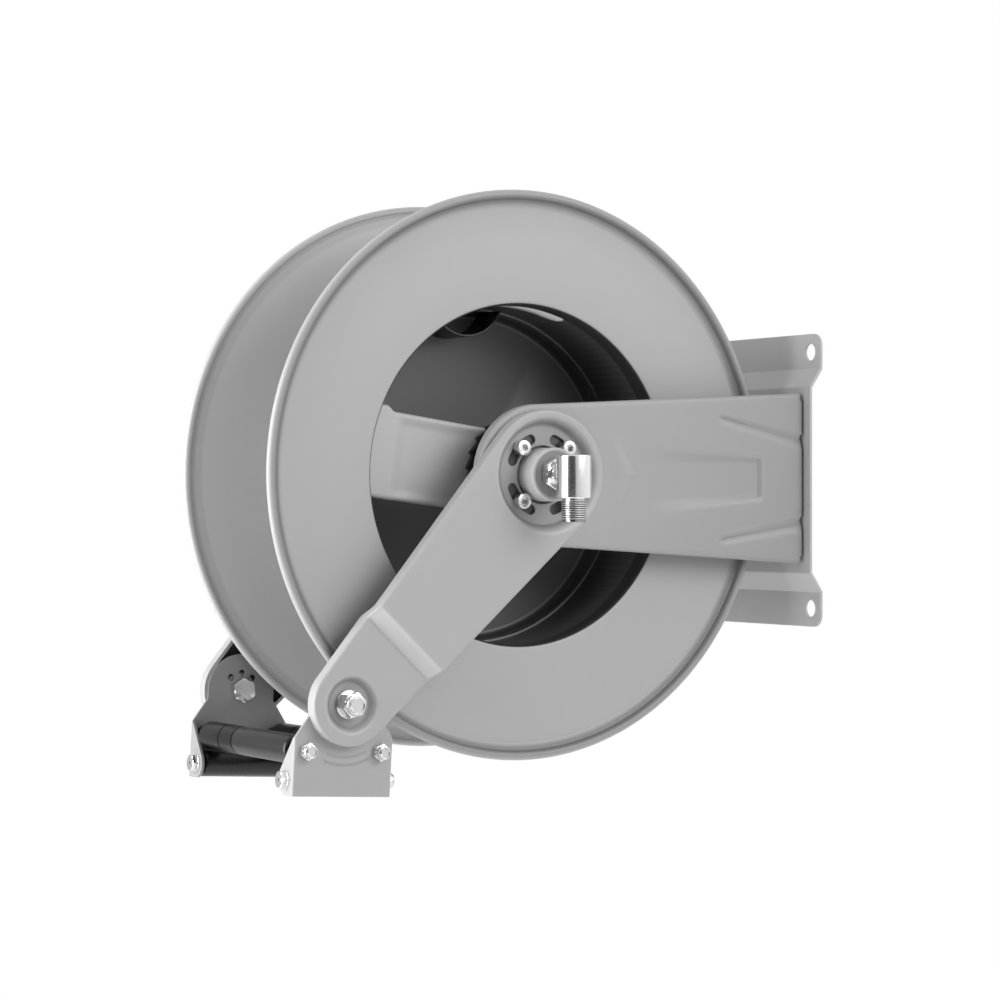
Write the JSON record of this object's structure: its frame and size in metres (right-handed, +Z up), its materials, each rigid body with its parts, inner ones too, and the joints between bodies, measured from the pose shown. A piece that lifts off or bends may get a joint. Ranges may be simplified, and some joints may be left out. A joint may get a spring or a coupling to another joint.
{
  "type": "hose reel",
  "caption": "Open spring-rewind hose reel: flanged drum on a wall plate with two arms, a swinging outlet arm, a tilting roller guide and a swivel water inlet.",
  "frame": {"origin": "middle of the four bolt holes of the wall plate, on the wall plane", "axes": "+X along the drum's axle towards the water inlet, +Y into the wall, +Z up"},
  "size_m": [0.3084, 0.525, 0.5025],
  "materials": {
    "painted_grey": "satin powder coat",
    "zinc_steel": "bright zinc",
    "nickel_plate": "bright nickel",
    "turned_steel": "turned",
    "spring_steel": "oiled",
    "black_plastic": "satin",
    "black_steel": "matte black",
    "bronze": "turned",
    "white_plastic": "matte",
    "seal_rubber": "matte"
  },
  "bodies": {
    "frame": {"wall_plate": "painted_grey", "support_arm_right": "painted_grey", "support_arm_left": "painted_grey", "hub_boss_right": "painted_grey", "hub_boss_left": "painted_grey", "bush_right": "bronze", "fixed_axle": "turned_steel", "axle_pin": "zinc_steel", "spring_arbor": "turned_steel", "clamp_screws": "zinc_steel", "swivel_cap": "painted_grey", "ratchet_wheel": "black_steel"},
    "drum": {"drum_flange_right": "painted_grey", "drum_flange_left": "painted_grey", "drum_core": "painted_grey", "web_disc": "painted_grey", "spring_case": "painted_grey", "case_screws": "zinc_steel", "spring_post": "turned_steel", "drum_bridge": "painted_grey", "hollow_shaft": "turned_steel", "pawl_pin": "turned_steel", "pawl_spring": "spring_steel", "hose_fitting": "bronze", "hose_saddle": "black_plastic", "bush_left": "bronze", "main_spring": "spring_steel"},
    "inlet": {"inlet_elbow": "nickel_plate", "swivel_seals": "seal_rubber"},
    "outlet_arms": {"outlet_arm_right": "painted_grey", "outlet_arm_left": "painted_grey", "pivot_bolts": "zinc_steel", "pivot_washers": "zinc_steel", "pivot_nuts": "zinc_steel", "friction_washers": "white_plastic"},
    "guide": {"guide_plate_right": "painted_grey", "guide_plate_left": "painted_grey", "roller_rods": "zinc_steel", "rod_nuts": "zinc_steel", "side_bolts": "zinc_steel", "side_nuts": "zinc_steel"},
    "front_roller": {"roller_front": "black_plastic"},
    "rear_roller": {"roller_rear": "black_plastic"},
    "right_roller": {"roller_side_right": "black_plastic"},
    "left_roller": {"roller_side_left": "black_plastic"},
    "pawl": {"pawl": "black_steel"}
  },
  "joints": [
    {"name": "drum_spin", "type": "hinge", "parent": "frame", "child": "drum", "pos_m": [0, -0.285, 0.0035], "axis": [1, 0, 0], "continuous": true},
    {"name": "inlet_swivel", "type": "hinge", "parent": "frame", "child": "inlet", "pos_m": [0.1612, -0.285, 0.0035], "axis": [1, 0, 0], "continuous": true},
    {"name": "outlet_arm_swing", "type": "hinge", "parent": "frame", "child": "outlet_arms", "pos_m": [0, -0.285, 0.0035], "axis": [1, 0, 0], "range_deg": [-23, 23]},
    {"name": "guide_tilt", "type": "hinge", "parent": "outlet_arms", "child": "guide", "pos_m": [0, -0.46304, -0.18184], "axis": [1, 0, 0], "range_deg": [-45, 15]},
    {"name": "front_roller_spin", "type": "hinge", "parent": "guide", "child": "front_roller", "pos_m": [0, -0.49815, -0.21854], "axis": [1, 0, 0], "continuous": true},
    {"name": "rear_roller_spin", "type": "hinge", "parent": "guide", "child": "rear_roller", "pos_m": [0, -0.43225, -0.22222], "axis": [1, 0, 0], "continuous": true},
    {"name": "right_roller_spin", "type": "hinge", "parent": "guide", "child": "right_roller", "pos_m": [0.0865, -0.46653, -0.24424], "axis": [0, 0.9984, -0.0558], "continuous": true},
    {"name": "left_roller_spin", "type": "hinge", "parent": "guide", "child": "left_roller", "pos_m": [-0.0865, -0.46653, -0.24424], "axis": [0, 0.9984, -0.0558], "continuous": true},
    {"name": "pawl_swing", "type": "hinge", "parent": "drum", "child": "pawl", "pos_m": [0.0735, -0.21515, -0.00445], "axis": [1, 0, 0], "range_deg": [0, 17], "stiffness_Nm_per_rad": 0.05, "springref_deg": -20.05, "deforming": ["pawl_spring"]}
  ]
}
